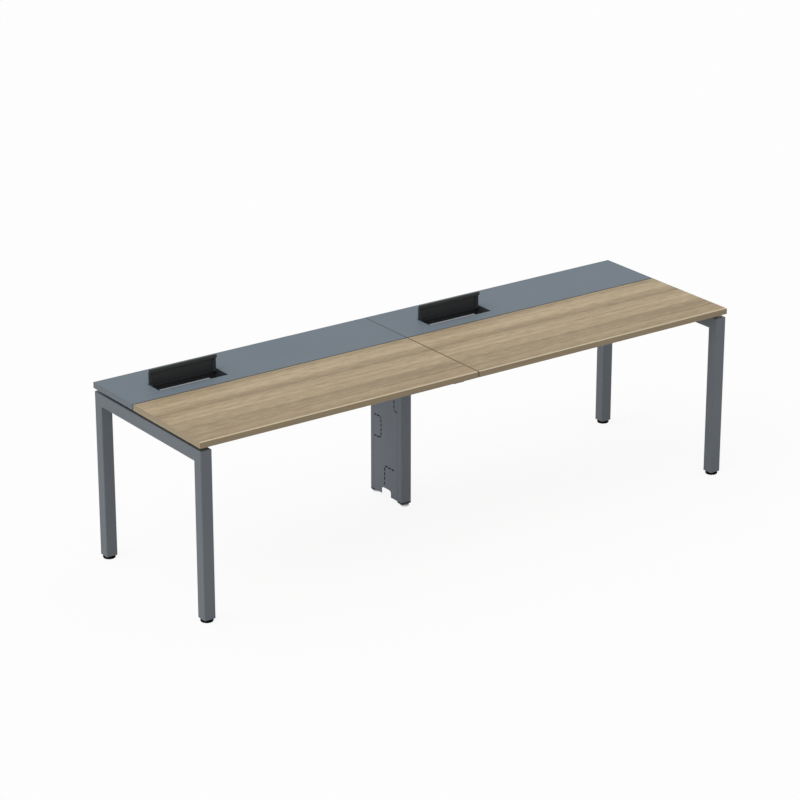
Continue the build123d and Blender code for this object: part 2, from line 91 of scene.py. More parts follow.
def boxMiddle(name):
    low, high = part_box(name)
    return (low + high) / 2


def solidBoxes(name):  # (low, high) of each separate solid in a part, sorted by place
    weld = 1e-6  # vertices closer than this are one
    digits = 5  # places are told apart to 0.01 mm
    work = bmesh.new()
    work.from_mesh(nodes[name].data)
    bmesh.ops.remove_doubles(work, verts=work.verts, dist=weld)
    left = set(work.verts)
    boxes = []
    while left:
        island = {left.pop()}
        border = list(island)
        while border:
            near = {e.other_vert(v) for v in border for e in v.link_edges} & left
            left -= near
            island |= near
            border = list(near)
        low = Vector([min(v.co[i] for v in island) for i in range(3)])
        high = Vector([max(v.co[i] for v in island) for i in range(3)])
        boxes.append((low, high))
    work.free()
    # a set has no order of its own, and a screw's random turn follows its number in the list
    return sorted(boxes, key=lambda box: [round(v, digits) for corner in box for v in corner])


# finishes

def newFinish(name, roughness, specular, metallic=0.0):
    finish = bpy.data.materials.new(name)
    finish.use_nodes = True
    tree = finish.node_tree
    shader = tree.nodes["Principled BSDF"]
    shader.inputs["Roughness"].default_value = roughness
    shader.inputs["Metallic"].default_value = metallic
    shader.inputs["Specular IOR Level"].default_value = specular
    return finish, tree, shader


def stretchedNoise(tree, perMetre, detail=2.0, roughness=0.5, distortion=0.0, start=(0, 0, 0)):
    # noise on the object's own coordinates, counted from start, perMetre along X, Y and Z
    coords = addNode(tree, "ShaderNodeTexCoord")
    shift = [-place * count for place, count in zip(start, perMetre)]
    mapping = addNode(tree, "ShaderNodeMapping", {"Scale": perMetre, "Location": shift})
    noise = addNode(tree, "ShaderNodeTexNoise", {
        "Scale": 1.0, "Detail": detail, "Roughness": roughness, "Distortion": distortion})
    tree.links.new(coords.outputs["Object"], mapping.inputs["Vector"])
    tree.links.new(mapping.outputs["Vector"], noise.inputs["Vector"])
    return noise.outputs["Fac"]


def ramp(tree, factor, stops, curve="LINEAR"):  # stops: (place, colour) each
    node = addNode(tree, "ShaderNodeValToRGB")
    node.color_ramp.interpolation = curve
    elements = node.color_ramp.elements
    while len(elements) < len(stops):
        elements.new(0.5)
    for element, (place, colour) in zip(elements, stops):
        element.position = place
        element.color = colour
    tree.links.new(factor, node.inputs["Fac"])
    return node.outputs["Color"]


def blendColours(tree, factor, first, second, how="MIX"):
    node = addNode(tree, "ShaderNodeMix", data_type="RGBA", blend_type=how)
    feed(tree, node.inputs["Factor"], factor)
    feed(tree, node.inputs[6], first)
    feed(tree, node.inputs[7], second)
    return node.outputs[2]


def remap(tree, factor, low, high, fromLow=0.0, fromHigh=1.0):
    # low where the factor is at or under fromLow, high where it is at or over fromHigh
    node = addNode(tree, "ShaderNodeMapRange", {
        "From Min": fromLow, "From Max": fromHigh, "To Min": low, "To Max": high})
    tree.links.new(factor, node.inputs["Value"])
    return node.outputs["Result"]


def ownPlace(tree, axis):  # the object's own coordinate along an axis
    coords = addNode(tree, "ShaderNodeTexCoord")
    apart = addNode(tree, "ShaderNodeSeparateXYZ")
    tree.links.new(coords.outputs["Object"], apart.inputs[0])
    return apart.outputs[axis]


def axisShare(tree, axis, start, stop):  # 0 up to the place start along an axis, 1 from stop on
    return remap(tree, ownPlace(tree, axis), 0.0, 1.0, start, stop)


def addBump(tree, shader, height, distance, strength):
    bump = addNode(tree, "ShaderNodeBump", {"Strength": strength, "Distance": distance})
    tree.links.new(height, bump.inputs["Height"])
    tree.links.new(bump.outputs["Normal"], shader.inputs["Normal"])


# the worktops' print

oak = {
    "dark": (131, 112, 84),
    "middle": (172, 153, 121),
    "light": (207, 186, 151),
    "grainLine": (128, 108, 80),
    "rim": (212, 194, 162),  # painted highlight along the front edge's upper corner
    "roughness": 0.5,
    "specular": 0.3,
    "sheetStart": (0.4, -0.12),  # place of the print on a board, from its left front corner
    # the noises in it
    "stray": {"perMetre": (1.1, 2.0, 0.0), "detail": 1},
    "bands": {"perMetre": (1.0, 9.0, 0.0), "detail": 3, "roughness": 0.55, "distortion": 0.9},
    "streaks": {"perMetre": (0.5, 44.0, 0.0), "detail": 4, "roughness": 0.6, "distortion": 0.7},
    "lines": {"perMetre": (14.0, 240.0, 0.0), "detail": 4, "roughness": 0.65, "distortion": 0.3},
    "pores": {"perMetre": (38.0, 1300.0, 0.0)},
    # broad bands: place from the front edge as a share of the depth, how light
    "bandPlan": (
        (0.10, 0.26), (0.27, 0.11), (0.39, 0.56), (0.52, 0.67),
        (0.70, 0.16), (0.80, 0.78), (0.88, 0.62), (0.93, 0.30)),
    "wander": 0.02,  # how far the bands stray, as a share of the depth
    "bandTones": (0.0, 0.5, 1.0),  # places of dark, middle and light
    "streakTones": (0.34, 0.5, 0.66),
    "streakShare": 0.36,
    # what a noise does: at its low end, at its high end, and where these ends are
    "strayReach": (-1.0, 1.0, 0.3, 0.7),
    "bandReach": (-0.14, 0.14, 0.35, 0.65),
    "darkLines": (0.54, 0.0, 0.36, 0.5),
    "lightLines": (0.0, 0.42, 0.54, 0.66),
    "darkPores": (0.3, 0.0, 0.3, 0.42),
    "lineRoughness": (0.58, 0.46),
    # the painted highlight line behind the front edge ends between these distances
    "edgeHighlightReach": (0.006, 0.011),
    "edgeHighlightShare": 0.75,
    "poreDepth": 0.00006,
    "bump": 0.5,
}


def oakFinish(name, board):  # printed oak laminate, grain along X, the same print on each board
    finish, tree, shader = newFinish(name, oak["roughness"], oak["specular"])
    corner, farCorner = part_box(board)
    start = (corner.x + oak["sheetStart"][0], corner.y + oak["sheetStart"][1], 0)
    stray, bands, streaks, lines, pores = [
        stretchedNoise(tree, start=start, **oak[layer])
        for layer in ("stray", "bands", "streaks", "lines", "pores")]
    stray = remap(tree, stray, *oak["strayReach"])
    depthShare = axisShare(tree, "Y", corner.y, farCorner.y)
    across = addMath(tree, "MULTIPLY_ADD", stray, oak["wander"], depthShare)
    plan = ramp(tree, across, [(place, grey(share)) for place, share in oak["bandPlan"]], "EASE")
    lightness = addMath(tree, "ADD", plan, remap(tree, bands, *oak["bandReach"]))
    tones = [srgb(*oak[tone]) for tone in ("dark", "middle", "light")]
    bandTone = ramp(tree, lightness, list(zip(oak["bandTones"], tones)))
    streakTone = ramp(tree, streaks, list(zip(oak["streakTones"], tones)))
    colour = blendColours(tree, oak["streakShare"], bandTone, streakTone)
    grainLine = srgb(*oak["grainLine"])
    colour = blendColours(tree, remap(tree, lines, *oak["darkLines"]), colour, grainLine)
    colour = blendColours(tree, remap(tree, lines, *oak["lightLines"]), colour, srgb(*oak["light"]))
    colour = blendColours(tree, remap(tree, pores, *oak["darkPores"]), colour, grainLine)
    # painted highlight: a paler line along the top's front edge
    highlighted = blendColours(tree, oak["edgeHighlightShare"], colour, srgb(*oak["rim"]))
    inward = axisShare(tree, "Y", *(corner.y + reach for reach in oak["edgeHighlightReach"]))
    colour = blendColours(tree, inward, highlighted, colour)
    tree.links.new(colour, shader.inputs["Base Color"])
    tree.links.new(remap(tree, lines, *oak["lineRoughness"]), shader.inputs["Roughness"])
    addBump(tree, shader, pores, oak["poreDepth"], oak["bump"])
    return finish


oakEdge = {
    "tones": ((0.3, (132, 119, 96)), (0.5, (146, 131, 107)), (0.72, (159, 144, 120))),
    # painted shade: the band's front face is darker than its ends
    "front": (132, 116, 89),
    "frontShadeShare": 0.5,
    "seamShade": (122, 108, 84),  # painted shade where it meets another board
    "roughness": 0.48,
    "specular": 0.3,
    "streaks": {"perMetre": (2.0, 2.0, 300.0), "detail": 4, "roughness": 0.6, "distortion": 0.3},
    "fine": {"perMetre": (12.0, 12.0, 1500.0)},
    "fineLines": (0.25, 0.0, 0.32, 0.5),
    # how far each tone reaches: from one of these distances to the other
    "rimPaintedLightReach": (0.0016, 0.0006),  # painted highlight, down from the top
    "frontShadeReach": (0.0025, 0.0035),  # painted shade, in from the front
    "backReach": (0.0035, 0.0025),  # in from the back
    "middleReach": (0.0045, 0.0055),  # out from the middle of the desk
    "depth": 0.00004,
    "bump": 0.4,
}


def oakEdgeFinish(name):  # the edge band: the same print, its streaks running round the board
    finish, tree, shader = newFinish(name, oakEdge["roughness"], oakEdge["specular"])
    streaks = stretchedNoise(tree, **oakEdge["streaks"])
    fine = stretchedNoise(tree, **oakEdge["fine"])
    low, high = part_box("worktop_edging_left")
    plain = ramp(tree, streaks, [(place, srgb(*tone)) for place, tone in oakEdge["tones"]])
    fineShare = remap(tree, fine, *oakEdge["fineLines"])
    plain = blendColours(tree, fineShare, plain, srgb(*oak["grainLine"]))
    # painted shade on the front face
    frontShadeTone = blendColours(tree, oakEdge["frontShadeShare"], plain, srgb(*oakEdge["front"]))
    # painted highlight along the band's upper edge
    rimPaintedLightShare = axisShare(tree, "Z", *(high.z - reach for reach in oakEdge["rimPaintedLightReach"]))
    frontShadeTone = blendColours(tree, rimPaintedLightShare, frontShadeTone, srgb(*oak["rim"]))
    behind = axisShare(tree, "Y", *(low.y + reach for reach in oakEdge["frontShadeReach"]))
    colour = blendColours(tree, behind, frontShadeTone, plain)
    fromMiddle = addMath(tree, "ABSOLUTE", ownPlace(tree, "X"))
    # painted shade along the seams at the middle and at the back
    atMiddle = remap(tree, fromMiddle, 1.0, 0.0, *oakEdge["middleReach"])
    atBack = axisShare(tree, "Y", *(high.y - reach for reach in oakEdge["backReach"]))
    seamShade = addMath(tree, "MAXIMUM", atMiddle, atBack)
    colour = blendColours(tree, seamShade, colour, srgb(*oakEdge["seamShade"]))
    tree.links.new(colour, shader.inputs["Base Color"])
    addBump(tree, shader, fine, oakEdge["depth"], oakEdge["bump"])
    return finish


# coats, laminates and mouldings

speckle = {
    "broadPerMetre": 3.0,
    "broadShare": (0.0, 1.0, 0.35, 0.65),
    "grainShare": (0.12, 0.0, 0.35, 0.6),
    "roughnessReach": 0.06,
    "bump": 0.6,
}


def speckledFinish(name, colour, roughness, specular, perMetre, depth, spread, metallic=0.0):
    # an even surface with a fine grain, and a faint change of tone over the piece
    finish, tree, shader = newFinish(name, roughness, specular, metallic)
    broad = stretchedNoise(tree, (speckle["broadPerMetre"],) * 3)
    grain = stretchedNoise(tree, (perMetre,) * 3)
    base = srgb(*colour)[:3]
    darker = tuple(c * (1 - spread) for c in base) + (1,)
    lighter = tuple(min(1, c * (1 + spread)) for c in base) + (1,)
    tone = blendColours(tree, remap(tree, broad, *speckle["broadShare"]), darker, lighter)
    tone = blendColours(tree, remap(tree, grain, *speckle["grainShare"]), tone, darker)
    reach = speckle["roughnessReach"]
    sheen = remap(tree, grain, roughness - reach, roughness + reach)
    tree.links.new(tone, shader.inputs["Base Color"])
    tree.links.new(sheen, shader.inputs["Roughness"])
    addBump(tree, shader, grain, depth, speckle["bump"])
    return finish


drawn = {
    "alongPerMetre": 6.0,
    "detail": 3,
    "lineTone": 0.88,
    "lineShare": (1.0, 0.0, 0.35, 0.65),
    "roughnessReach": 0.07,
    "depth": 0.00003,
    "bump": 0.5,
}


def drawnFinish(name, tones, roughness, specular, metallic, perMetre):
    # fine lines along X, as from an extrusion die or a brush
    finish, tree, shader = newFinish(name, roughness, specular, metallic)
    lines = stretchedNoise(
        tree, (drawn["alongPerMetre"], perMetre, perMetre), detail=drawn["detail"])
    # painted shade: the tone changes with height, darker toward the bottom
    low, high = tones[0][0], tones[-1][0]
    base = ramp(tree, axisShare(tree, "Z", low, high), [
        ((height - low) / (high - low), srgb(*colour)) for height, colour in tones])
    lineShare = remap(tree, lines, *drawn["lineShare"])
    tone = blendColours(tree, lineShare, base, grey(drawn["lineTone"]), "MULTIPLY")
    reach = drawn["roughnessReach"]
    sheen = remap(tree, lines, roughness - reach, roughness + reach)
    tree.links.new(tone, shader.inputs["Base Color"])
    tree.links.new(sheen, shader.inputs["Roughness"])
    addBump(tree, shader, lines, drawn["depth"], drawn["bump"])
    return finish


coats = {
    "panelLaminate": dict(
        colour=(114, 125, 134), roughness=0.55, specular=0.1,
        perMetre=1900, depth=0.00005, spread=0.02),
    "panelEdge": dict(
        colour=(97, 105, 112), roughness=0.5, specular=0.25,
        perMetre=1500, depth=0.00004, spread=0.02),
    "framePaint": dict(
        colour=(94, 100, 106), roughness=0.46, specular=0.35,
        perMetre=900, depth=0.00008, spread=0.03),
    # a little lighter than framePaint: painted light for the riser's shaded place under the desk
    "riserPaint": dict(
        colour=(97, 103, 111), roughness=0.48, specular=0.35,
        perMetre=900, depth=0.00008, spread=0.03),
    "trayPaint": dict(
        colour=(100, 106, 112), roughness=0.48, specular=0.35,
        perMetre=900, depth=0.00008, spread=0.03),
    "zinc": dict(
        colour=(176, 180, 184), roughness=0.36, specular=0.5, metallic=1.0,
        perMetre=260, depth=0.00002, spread=0.12),
    "darkSteel": dict(
        colour=(72, 73, 75), roughness=0.4, specular=0.4, metallic=0.7,
        perMetre=400, depth=0.00002, spread=0.1),
    "flapMoulding": dict(
        colour=(66, 69, 71), roughness=0.6, specular=0.12,
        perMetre=1100, depth=0.00006, spread=0.08),
    "housingCoat": dict(
        colour=(62, 65, 68), roughness=0.55, specular=0.15,
        perMetre=1100, depth=0.00005, spread=0.06),
    "glideMoulding": dict(
        colour=(5, 5, 6), roughness=0.5, specular=0.06,
        perMetre=1400, depth=0.00006, spread=0.1),
    "innerMoulding": dict(
        colour=(20, 20, 21), roughness=0.5, specular=0.25,
        perMetre=1400, depth=0.00006, spread=0.1),
    "paleMoulding": dict(
        colour=(232, 234, 235), roughness=0.42, specular=0.35,
        perMetre=1400, depth=0.00005, spread=0.04),
}
extrusions = {  # tones: (height, colour) from low to high, with the flap standing open; painted shade, darker toward the bottom
    "flapCoat": dict(
        tones=((0.737, (44, 47, 49)), (0.750, (62, 65, 67)), (0.784, (75, 78, 77))),
        roughness=0.62, specular=0.1, metallic=0.0, perMetre=1400),
    # painted shade: the strip is darker below its top
    "stripAluminium": dict(
        tones=((0.740, (150, 154, 158)), (0.749, (170, 174, 178))),
        roughness=0.42, specular=0.5, metallic=0.3, perMetre=1800),
}

finishes = {
    "oakLeft": oakFinish("oakLeft", "worktop_left"),
    "oakRight": oakFinish("oakRight", "worktop_right"),
    "oakEdge": oakEdgeFinish("oakEdge"),
}
for name, values in coats.items():
    finishes[name] = speckledFinish(name, **values)
for name, values in extrusions.items():
    finishes[name] = drawnFinish(name, **values)


# painted shade on two of the coats

shade = {
    "riserInsideShade": (16, 16, 17),
    "riserFootShade": (38, 40, 42),
    "footShadeReach": (0.0035, 0.0025),  # painted shade, up from the riser's foot
    "portRimShade": (40, 42, 44),
    "rimPaintedLightReach": (0.0012, 0.0006),  # painted shade, down from the top of the port's housing
}


def insideShare(tree, node):  # 1 on the faces turned toward the middle of a hollow piece
    coords = addNode(tree, "ShaderNodeTexCoord")
    middle = (0, boxMiddle(node).y, 0)
    outward = addNode(tree, "ShaderNodeVectorMath", {1: middle}, operation="SUBTRACT")
    flat = addNode(tree, "ShaderNodeVectorMath", {1: (1, 1, 0)}, operation="MULTIPLY")
    product = addNode(tree, "ShaderNodeVectorMath", operation="DOT_PRODUCT")
    tree.links.new(coords.outputs["Object"], outward.inputs[0])
    tree.links.new(outward.outputs["Vector"], flat.inputs[0])
    tree.links.new(flat.outputs["Vector"], product.inputs[0])
    tree.links.new(coords.outputs["Normal"], product.inputs[1])
    return addMath(tree, "LESS_THAN", product.outputs["Value"], 0.0)


def paintOver(tree, share, colour):  # a second colour over the first, where share is 1
    baseColour = tree.nodes["Principled BSDF"].inputs["Base Color"]
    paint = baseColour.links[0].from_socket
    tree.links.new(blendColours(tree, share, paint, srgb(*colour)), baseColour)


tree = finishes["riserPaint"].node_tree
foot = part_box("riser_front_post")[0].z
footShadeShare = axisShare(tree, "Z", *(foot + reach for reach in shade["footShadeReach"]))
# painted shade on the riser's inner faces
paintOver(tree, insideShare(tree, "riser_head_plate"), shade["riserInsideShade"])
# painted shade along the riser's foot
paintOver(tree, footShadeShare, shade["riserFootShade"])
tree = finishes["housingCoat"].node_tree
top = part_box("flap_housing_left")[1].z
rimPaintedLightShare = axisShare(tree, "Z", *(top - reach for reach in shade["rimPaintedLightReach"]))
# painted shade on the housing's top rim
paintOver(tree, rimPaintedLightShare, shade["portRimShade"])
print("finishes done:", len(finishes))


# which part wears which finish

finishOf = {
    "worktop_left": "oakLeft",
    "worktop_right": "oakRight",
    "middle_rail": "framePaint",
    "beam_saddles": "framePaint",
    "fixing_tabs": "framePaint",
    "joint_plates": "zinc",
    "beam_bolts": "zinc",
    "riser_bolts": "zinc",
    "leg_plugs": "innerMoulding",
    "middle_rail_caps": "innerMoulding",
    "top_spacers": "innerMoulding",
    "riser_foot_blocks": "innerMoulding",
    "riser_front_post": "riserPaint",
    "riser_rear_post": "riserPaint",
    "riser_ties": "riserPaint",
    "riser_head_plate": "riserPaint",
    "riser_front_glide": "paleMoulding",
    "riser_rear_glide": "paleMoulding",
}
for side in sides:
    finishOf.update({
        f"worktop_edging_{side}": "oakEdge",
        f"service_panel_{side}": "panelLaminate",
        f"service_panel_edging_{side}": "panelEdge",
        f"front_leg_{side}": "framePaint",
        f"rear_leg_{side}": "framePaint",
        f"end_rail_{side}": "framePaint",
        f"front_beam_{side}": "framePaint",
        f"rear_beam_{side}": "framePaint",
        f"front_glide_{side}": "glideMoulding",
        f"rear_glide_{side}": "glideMoulding",
        f"riser_cover_{side}": "riserPaint",
        f"flap_housing_{side}": "housingCoat",
        f"flap_strip_{side}": "stripAluminium",
        f"flap_lid_{side}": "flapCoat",
        f"flap_blocks_{side}": "flapMoulding",
        f"cable_tray_{side}": "trayPaint",
        f"tray_hangers_{side}": "trayPaint",
    })

for name, obj in nodes.items():
    obj.data.materials.clear()
    obj.data.materials.append(finishes[finishOf[name]])
print("parts dressed:", len(finishOf))


# geometry node trees

def newTree(name, inputs):  # a tree with geometry in and out, and named inputs
    tree = bpy.data.node_groups.new(name, "GeometryNodeTree")
    face = tree.interface
    face.new_socket("Geometry", in_out="INPUT", socket_type="NodeSocketGeometry")
    for label, kind in inputs.items():
        face.new_socket(label, in_out="INPUT", socket_type=kind)
    face.new_socket("Geometry", in_out="OUTPUT", socket_type="NodeSocketGeometry")
    return tree, tree.nodes.new("NodeGroupInput"), tree.nodes.new("NodeGroupOutput")


def closeTree(tree, start, end, instances):  # real meshes, in the finish that the input names
    real = addNode(tree, "GeometryNodeRealizeInstances")
    paint = addNode(tree, "GeometryNodeSetMaterial")
    tree.links.new(instances, real.inputs["Geometry"])
    tree.links.new(real.outputs["Geometry"], paint.inputs["Geometry"])
    tree.links.new(start.outputs["Finish"], paint.inputs["Material"])
    tree.links.new(paint.outputs["Geometry"], end.inputs["Geometry"])


def runTree(name, source, tree, values):  # the tree's result as a plain mesh object
    carrier = meshObject(name + "Points", source)
    modifier = carrier.modifiers.new(name, "NODES")
    modifier.node_group = tree
    for item in tree.interface.items_tree:
        if item.in_out == "INPUT" and item.name in values:
            modifier[item.identifier] = values[item.name]
    ready = carrier.evaluated_get(bpy.context.evaluated_depsgraph_get())
    mesh = bpy.data.meshes.new_from_object(ready)
    bpy.data.objects.remove(carrier)
    return meshObject(name, mesh)


def headTree():  # screw heads with a hexagon drive, one on each point, along "facing"
    hexagon = 6
    tree, start, end = newTree("driveHeads", {
        "Head radius": "NodeSocketFloat", "Head height": "NodeSocketFloat",
        "Crown radius": "NodeSocketFloat", "Sides": "NodeSocketInt",
        "Drive radius": "NodeSocketFloat", "Drive depth": "NodeSocketFloat",
        "Seed": "NodeSocketInt", "Finish": "NodeSocketMaterial"})
    link = tree.links.new
    head = addNode(tree, "GeometryNodeMeshCone")
    link(start.outputs["Sides"], head.inputs["Vertices"])
    link(start.outputs["Crown radius"], head.inputs["Radius Top"])
    link(start.outputs["Head radius"], head.inputs["Radius Bottom"])
    link(start.outputs["Head height"], head.inputs["Depth"])
    # the drive is cut by a bar twice its depth, centred on the head's top
    bar = addNode(tree, "GeometryNodeMeshCylinder", {"Vertices": hexagon})
    lifted = addNode(tree, "ShaderNodeCombineXYZ")
    moved = addNode(tree, "GeometryNodeTransform")
    cut = addNode(tree, "GeometryNodeMeshBoolean", operation="DIFFERENCE")
    link(start.outputs["Drive radius"], bar.inputs["Radius"])
    link(addMath(tree, "MULTIPLY", start.outputs["Drive depth"], 2.0), bar.inputs["Depth"])
    link(start.outputs["Head height"], lifted.inputs["Z"])
    link(bar.outputs["Mesh"], moved.inputs["Geometry"])
    link(lifted.outputs[0], moved.inputs["Translation"])
    link(head.outputs["Mesh"], cut.inputs["Mesh 1"])
    link(moved.outputs["Geometry"], cut.inputs["Mesh 2"])
    # each head faces its own way, and is turned by chance
    facing = addNode(
        tree, "GeometryNodeInputNamedAttribute", {"Name": "facing"}, data_type="FLOAT_VECTOR")
    aimed = addNode(tree, "FunctionNodeAlignRotationToVector", axis="Z")
    chance = addNode(tree, "FunctionNodeRandomValue", {2: 0.0, 3: math.tau}, data_type="FLOAT")
    spin = addNode(tree, "FunctionNodeAxisAngleToRotation", {"Axis": (0, 0, 1)})
    both = addNode(tree, "FunctionNodeRotateRotation", rotation_space="LOCAL")
    place = addNode(tree, "GeometryNodeInstanceOnPoints")
    link(start.outputs["Seed"], chance.inputs["Seed"])
    link(facing.outputs["Attribute"], aimed.inputs["Vector"])
    link(chance.outputs[1], spin.inputs["Angle"])
    link(aimed.outputs["Rotation"], both.inputs["Rotation"])
    link(spin.outputs["Rotation"], both.inputs["Rotate By"])
    link(start.outputs["Geometry"], place.inputs["Points"])
    link(cut.outputs["Mesh"], place.inputs["Instance"])
    link(both.outputs["Rotation"], place.inputs["Rotation"])
    closeTree(tree, start, end, place.outputs["Instances"])
    return tree


def threadTree():  # a thread's ridge wound round +Z, from the single input point up
    tree, start, end = newTree("threadRidge", {
        "Root radius": "NodeSocketFloat", "Pitch": "NodeSocketFloat", "Turns": "NodeSocketFloat",
        "Steps per turn": "NodeSocketInt", "Ridge": "NodeSocketFloat",
        "Ridge sides": "NodeSocketInt", "Finish": "NodeSocketMaterial"})
    link = tree.links.new
    rise = addMath(tree, "MULTIPLY", start.outputs["Pitch"], start.outputs["Turns"])
    helix = addNode(tree, "GeometryNodeCurveSpiral")
    section = addNode(tree, "GeometryNodeCurvePrimitiveCircle")
    sweep = addNode(tree, "GeometryNodeCurveToMesh", {"Fill Caps": True})
    place = addNode(tree, "GeometryNodeInstanceOnPoints")
    link(start.outputs["Steps per turn"], helix.inputs["Resolution"])
    link(start.outputs["Turns"], helix.inputs["Rotations"])
    link(start.outputs["Root radius"], helix.inputs["Start Radius"])
    link(start.outputs["Root radius"], helix.inputs["End Radius"])
    link(rise, helix.inputs["Height"])
    link(start.outputs["Ridge sides"], section.inputs["Resolution"])
    link(start.outputs["Ridge"], section.inputs["Radius"])
    link(helix.outputs["Curve"], sweep.inputs["Curve"])
    link(section.outputs["Curve"], sweep.inputs["Profile Curve"])
    link(start.outputs["Geometry"], place.inputs["Points"])
    link(sweep.outputs["Mesh"], place.inputs["Instance"])
    closeTree(tree, start, end, place.outputs["Instances"])
    return tree


def pointMesh(name, spots):  # vertices with a "facing" direction each
    mesh = bpy.data.meshes.new(name)
    mesh.from_pydata([tuple(place) for place, facing in spots], [], [])
    facings = mesh.attributes.new("facing", "FLOAT_VECTOR", "POINT")
    for item, (place, facing) in zip(facings.data, spots):
        item.vector = facing
    return mesh


heads = headTree()
threads = threadTree()


# screws under the boards

boardScrew = {
    "Head radius": 0.0045, "Head height": 0.0024, "Crown radius": 0.0032, "Sides": 18,
    "Drive radius": 0.0017, "Drive depth": 0.0014, "Seed": 4, "Finish": finishes["zinc"],
}
boardScrewPlace = {
    "plateInset": 0.012,  # from a joint plate's edges
    "plateRow": 2.4,  # a plate's inner screws, in insets from its front and back edge
    "flange": 0.002,  # thickness of the hangers' flanges
    "flangeInset": 0.010,  # from a flange's free edge
    "flangeEnd": 0.006,
    "housingLift": 0.00075,  # a housing's tabs are thinner than the flanges by this
    "tabEnd": 0.040,  # from the ends of a port's housing
    "tabInset": 0.0075,
}


def boardScrewSpots():
    place = boardScrewPlace
    down = Vector((0, 0, -1))
    spots = []
    for low, high in solidBoxes("fixing_tabs"):
        spots.append((Vector(((low.x + high.x) / 2, (low.y + high.y) / 2, low.z)), down))
    inset = place["plateInset"]
    row = place["plateRow"] * inset
    for low, high in solidBoxes("joint_plates"):
        for x in (low.x + inset, high.x - inset):
            for y in (low.y + inset, low.y + row, high.y - row, high.y - inset):
                spots.append((Vector((x, y, low.z)), down))
    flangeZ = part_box("worktop_left")[0].z - place["flange"]
    tabZ = flangeZ + place["housingLift"]
    for side in sides:
        port = f"flap_housing_{side}"
        for low, high in solidBoxes(f"tray_hangers_{side}"):
            behind = (low.y + high.y) / 2 > boxMiddle(port).y
            y = high.y - place["flangeInset"] if behind else low.y + place["flangeInset"]
            for x in (low.x + place["flangeEnd"], high.x - place["flangeEnd"]):
                spots.append((Vector((x, y, flangeZ)), down))
        low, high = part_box(port)
        for x in (low.x + place["tabEnd"], high.x - place["tabEnd"]):
            for y in (low.y + place["tabInset"], high.y - place["tabInset"]):
                spots.append((Vector((x, y, tabZ)), down))
    return spots


spots = boardScrewSpots()
boardScrews = runTree("boardScrews", pointMesh("boardScrewSpots", spots), heads, boardScrew)
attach(boardScrews, "frame")

# screws that hold each flap's end blocks

flapScrew = {
    "Head radius": 0.0026, "Head height": 0.0012, "Crown radius": 0.0018, "Sides": 18,
    "Drive radius": 0.0010, "Drive depth": 0.0008, "Seed": 9, "Finish": finishes["darkSteel"],
}
flapScrewPlace = {
    "fromEnd": 0.011,
    "behindLip": 0.007,  # the blocks' front face, from the lid's rearmost point
    "aboveTop": (0.012, 0.040),
}
for side in sides:
    low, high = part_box(f"flap_lid_{side}")
    y = high.y - flapScrewPlace["behindLip"]
    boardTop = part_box(f"service_panel_{side}")[1].z
    spots = [
        (Vector((x, y, boardTop + rise)), Vector((0, -1, 0)))
        for x in (low.x + flapScrewPlace["fromEnd"], high.x - flapScrewPlace["fromEnd"])
        for rise in flapScrewPlace["aboveTop"]
    ]
    source = pointMesh(f"flapScrewSpots_{side}", spots)
    screws = runTree(f"flapScrews_{side}", source, heads, flapScrew)
    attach(screws, f"flap_{side}")
print("screws done")


# glides: a turned foot, a round collar and a threaded stem

glide = {
    "taper": 0.0018,  # how far the foot draws in at the floor
    "taperTop": 1 / 3,  # share of it that is left at a height of one taper
    "flank": (0.4, 0.42),  # the foot is at its widest between these shares of its height
    "groove": 0.47,  # height of the groove, as a share
    "waist": 0.0008,  # depth of the groove
    "rim": 0.0022,  # rounding of the foot's upper edge
    "rimSteps": 4,
    "collarRadius": 0.0102,
    "stemRoot": 0.0044,
    "tip": 0.001,  # chamfer on top of the stem
    "pitch": 0.0015,
    "ridge": 0.00055,
    "ridgeSides": 4,
    "stepsPerTurn": 20,
    "segments": 56,
    "creaseAngle": 35,
}
legGlide = {
    "footHeight": 0.0118,
    "collarTop": 0.0127,
    "finish": "glideMoulding",
    "slot": "glide_black",
}
riserGlide = {
    "footHeight": 0.007,
    "collarTop": 0.0107,
    "finish": "paleMoulding",
    "slot": "glide_pale",
}


def turned(profile, centre, segments):  # a solid of revolution from (radius, height) points
    work = bmesh.new()
    rings = []
    for radius, height in profile:
        if radius == 0:
            rings.append([work.verts.new((centre.x, centre.y, height))])
            continue
        ring = []
        for step in range(segments):
            angle = math.tau * step / segments
            x = centre.x + radius * math.cos(angle)
            y = centre.y + radius * math.sin(angle)
            ring.append(work.verts.new((x, y, height)))
        rings.append(ring)
    for lower, upper in zip(rings, rings[1:]):
        for step in range(segments):
            after = (step + 1) % segments
            if len(lower) == 1:
                work.faces.new((lower[0], upper[after], upper[step]))
            elif len(upper) == 1:
                work.faces.new((lower[step], lower[after], upper[0]))
            else:
                work.faces.new((lower[step], lower[after], upper[after], upper[step]))
    bmesh.ops.recalc_face_normals(work, faces=work.faces)
    mesh = bpy.data.meshes.new("turned")
    work.to_mesh(mesh)
    work.free()
    return mesh


def roundedStep(radius, height, rim, steps):  # a quarter round from the side up to the top
    angles = [math.pi / 2 * i / steps for i in range(steps + 1)]
    return [
        (radius - rim + rim * math.cos(angle), height - rim + rim * math.sin(angle))
        for angle in angles
    ]


def glideProfile(radius, top, footHeight, collarTop):
    taper = glide["taper"]
    widest, stillWidest = (share * footHeight for share in glide["flank"])
    waist = radius - glide["waist"]
    collar = glide["collarRadius"]
    stem = glide["stemRoot"]
    tip = glide["tip"]
    return [
        (0, 0), (radius - taper, 0), (radius - taper * glide["taperTop"], taper),
        (radius, widest), (radius, stillWidest), (waist, footHeight * glide["groove"]),
        *roundedStep(waist, footHeight, glide["rim"], glide["rimSteps"]),
        (collar, footHeight), (collar, collarTop), (stem, collarTop),
        (stem, top - tip), (stem - tip, top), (0, top),
    ]


